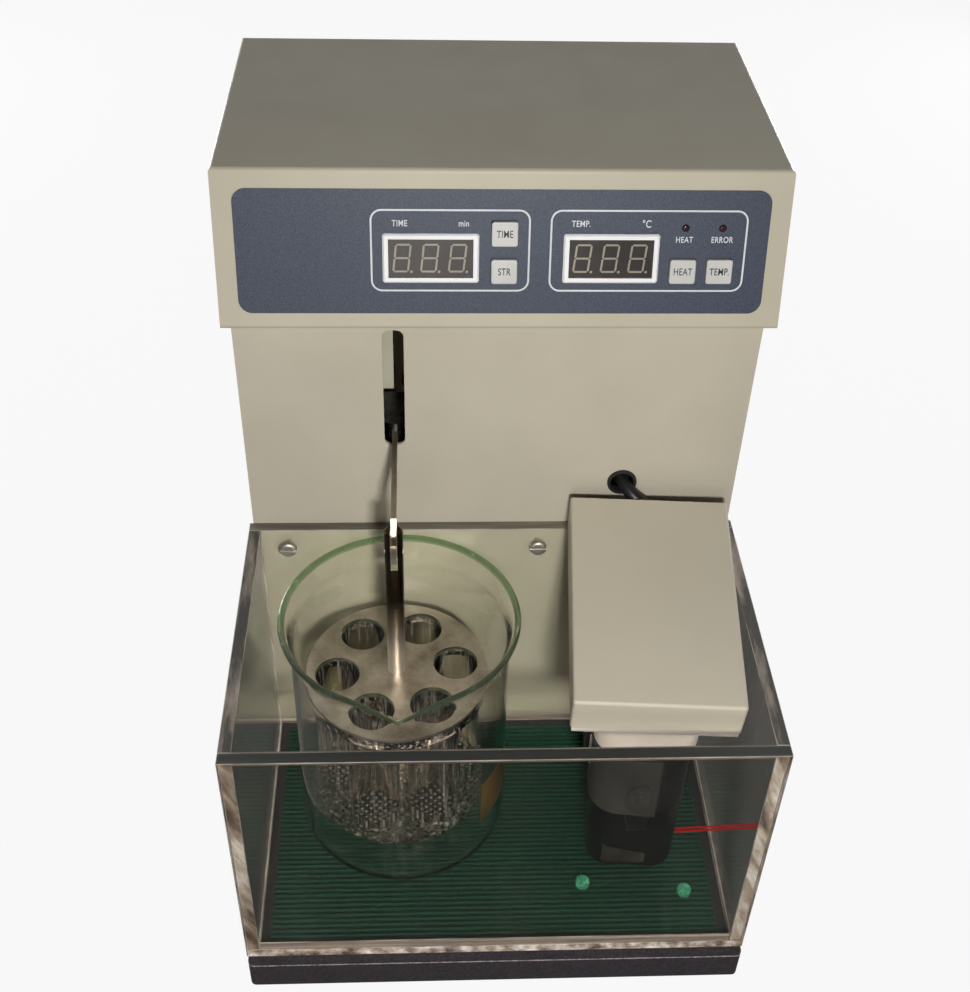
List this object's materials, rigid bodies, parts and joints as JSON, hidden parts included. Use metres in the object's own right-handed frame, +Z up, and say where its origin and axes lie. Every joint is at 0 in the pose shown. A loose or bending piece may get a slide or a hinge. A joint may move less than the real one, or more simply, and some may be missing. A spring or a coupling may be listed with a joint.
{
  "type": "tablet disintegration tester",
  "caption": "Bench tester that dips a rack of open glass tubes into a beaker of fluid in a heated clear tank, driven by an arm from a column with a display head.",
  "frame": {"origin": "centre of the base's outline at the bottom of the feet", "axes": "+Z up, +X to the right of a person facing the display, +Y towards the back"},
  "size_m": [0.25, 0.31, 0.3723],
  "materials": {
    "case_paint": "fine textured enamel",
    "base_paint": "satin",
    "rubber_black": "matte",
    "ribbed_green_rubber": "ribbed matte",
    "clear_sheet": "clear polished",
    "nickel": "bright",
    "red_film": "gloss film",
    "printed_film": "fine matte film",
    "grey_plastic": "satin",
    "display_dark": "smoked gloss",
    "indicator_red": "unlit lens",
    "circuit_board": "solder mask",
    "ground_steel": "ground",
    "cast_block": "machined",
    "arm_steel": "polished",
    "plate_steel": "brushed",
    "bracket_steel": "plated",
    "gearbox_metal": "cast",
    "motor_metal": "satin",
    "rack_plastic": "clear",
    "screen_wire": "woven",
    "clear_glass": "clear",
    "disc_plastic": "clear",
    "pump_pale": "satin",
    "pump_dark": "satin",
    "cup_smoke": "smoked gloss",
    "cable_jacket": "matte jacket",
    "inlet_black": "moulded"
  },
  "bodies": {
    "frame": {"column_shell": "case_paint", "head_cover": "case_paint", "chassis_plate": "case_paint", "rear_cover": "case_paint", "base_plate": "base_paint", "rubber_feet": "rubber_black", "cable_grommet": "rubber_black", "ribbed_mat": "ribbed_green_rubber", "tank_front": "clear_sheet", "tank_back": "clear_sheet", "tank_sides": "clear_sheet", "tank_floor": "clear_sheet", "floor_studs": "clear_sheet", "tank_screws": "nickel", "case_screws": "nickel", "level_mark": "red_film", "panel_overlay": "printed_film", "display_frames": "grey_plastic", "display_modules": "display_dark", "indicator_lights": "indicator_red", "control_board": "circuit_board", "guide_rods": "ground_steel", "guide_rod_blocks": "cast_block", "temperature_probe": "arm_steel", "heater_tube": "arm_steel", "motor_bracket": "bracket_steel", "power_supply": "bracket_steel", "gearbox": "gearbox_metal", "drive_motor": "motor_metal", "pump_head": "pump_pale", "hood_floor": "pump_pale", "pump_body": "pump_dark", "pump_cup": "cup_smoke", "pump_cable": "cable_jacket", "power_inlet": "inlet_black"},
    "lift": {"lift_block": "cast_block", "lift_arm": "arm_steel"},
    "crank": {"crank_disc": "ground_steel"},
    "link": {"connecting_link": "ground_steel"},
    "hook_pin": {"hook_pin": "nickel"},
    "basket": {"basket_rod": "arm_steel", "basket_nut": "nickel", "top_plate": "plate_steel", "upper_plate": "rack_plastic", "lower_plate": "rack_plastic", "wire_mesh": "screen_wire", "glass_tubes": "clear_glass"},
    "beaker": {"beaker": "clear_glass"},
    "hood": {"pump_hood": "case_paint"},
    "rocker": {"power_rocker": "inlet_black"},
    "disc_1": {"disc_1": "disc_plastic"},
    "disc_2": {"disc_2": "disc_plastic"},
    "disc_3": {"disc_3": "disc_plastic"},
    "disc_4": {"disc_4": "disc_plastic"},
    "disc_5": {"disc_5": "disc_plastic"},
    "disc_6": {"disc_6": "disc_plastic"},
    "time_button": {"time_button": "grey_plastic"},
    "start_button": {"start_button": "grey_plastic"},
    "heat_button": {"heat_button": "grey_plastic"},
    "temp_button": {"temp_button": "grey_plastic"}
  },
  "joints": [
    {"name": "lift_stroke", "type": "slide", "parent": "frame", "child": "lift", "axis": [0, 0, 1], "range_m": [0, 0.055]},
    {"name": "crank_turn", "type": "hinge", "parent": "frame", "child": "crank", "pos_m": [-0.037, 0.0512, 0.3185], "axis": [0, 1, 0], "range_deg": [0, 180]},
    {"name": "link_swing", "type": "hinge", "parent": "crank", "child": "link", "pos_m": [-0.037, 0.0512, 0.291], "axis": [0, 1, 0], "range_deg": [-180, 0]},
    {"name": "basket_lift_off", "type": "slide", "parent": "lift", "child": "hook_pin", "axis": [0, 0, 1], "range_m": [0, 0.01]},
    {"name": "basket_hang", "type": "hinge", "parent": "hook_pin", "child": "basket", "pos_m": [-0.049, -0.0583, 0.215], "axis": [1, 0, 0], "range_deg": [-0.8, 0.8]},
    {"name": "beaker_lift", "type": "slide", "parent": "frame", "child": "beaker", "axis": [0, 0, 1], "range_m": [0, 0.012]},
    {"name": "hood_lift_off", "type": "slide", "parent": "frame", "child": "hood", "axis": [0, 0, 1], "range_m": [0, 0.06]},
    {"name": "power_switch", "type": "hinge", "parent": "frame", "child": "rocker", "pos_m": [0.076, 0.144, 0.07], "axis": [-1, 0, 0], "range_deg": [0, 18]},
    {"name": "disc_1_slide", "type": "slide", "parent": "basket", "child": "disc_1", "axis": [0, 0, 1], "range_m": [0, 0.06]},
    {"name": "disc_2_slide", "type": "slide", "parent": "basket", "child": "disc_2", "axis": [0, 0, 1], "range_m": [0, 0.06]},
    {"name": "disc_3_slide", "type": "slide", "parent": "basket", "child": "disc_3", "axis": [0, 0, 1], "range_m": [0, 0.06]},
    {"name": "disc_4_slide", "type": "slide", "parent": "basket", "child": "disc_4", "axis": [0, 0, 1], "range_m": [0, 0.06]},
    {"name": "disc_5_slide", "type": "slide", "parent": "basket", "child": "disc_5", "axis": [0, 0, 1], "range_m": [0, 0.06]},
    {"name": "disc_6_slide", "type": "slide", "parent": "basket", "child": "disc_6", "axis": [0, 0, 1], "range_m": [0, 0.06]},
    {"name": "time_button_press", "type": "slide", "parent": "frame", "child": "time_button", "axis": [0, 0.9745, -0.2243], "range_m": [0, 0.0012], "stiffness_N_per_m": 400, "springref_m": -0.001},
    {"name": "start_button_press", "type": "slide", "parent": "frame", "child": "start_button", "axis": [0, 0.9745, -0.2243], "range_m": [0, 0.0012], "stiffness_N_per_m": 400, "springref_m": -0.001},
    {"name": "heat_button_press", "type": "slide", "parent": "frame", "child": "heat_button", "axis": [0, 0.9745, -0.2243], "range_m": [0, 0.0012], "stiffness_N_per_m": 400, "springref_m": -0.001},
    {"name": "temp_button_press", "type": "slide", "parent": "frame", "child": "temp_button", "axis": [0, 0.9745, -0.2243], "range_m": [0, 0.0012], "stiffness_N_per_m": 400, "springref_m": -0.001}
  ],
  "couplings": [
    {"joint": "crank_turn", "follows": "lift_stroke", "rad_per_m": 57.11},
    {"joint": "link_swing", "follows": "lift_stroke", "rad_per_m": -57.11}
  ]
}
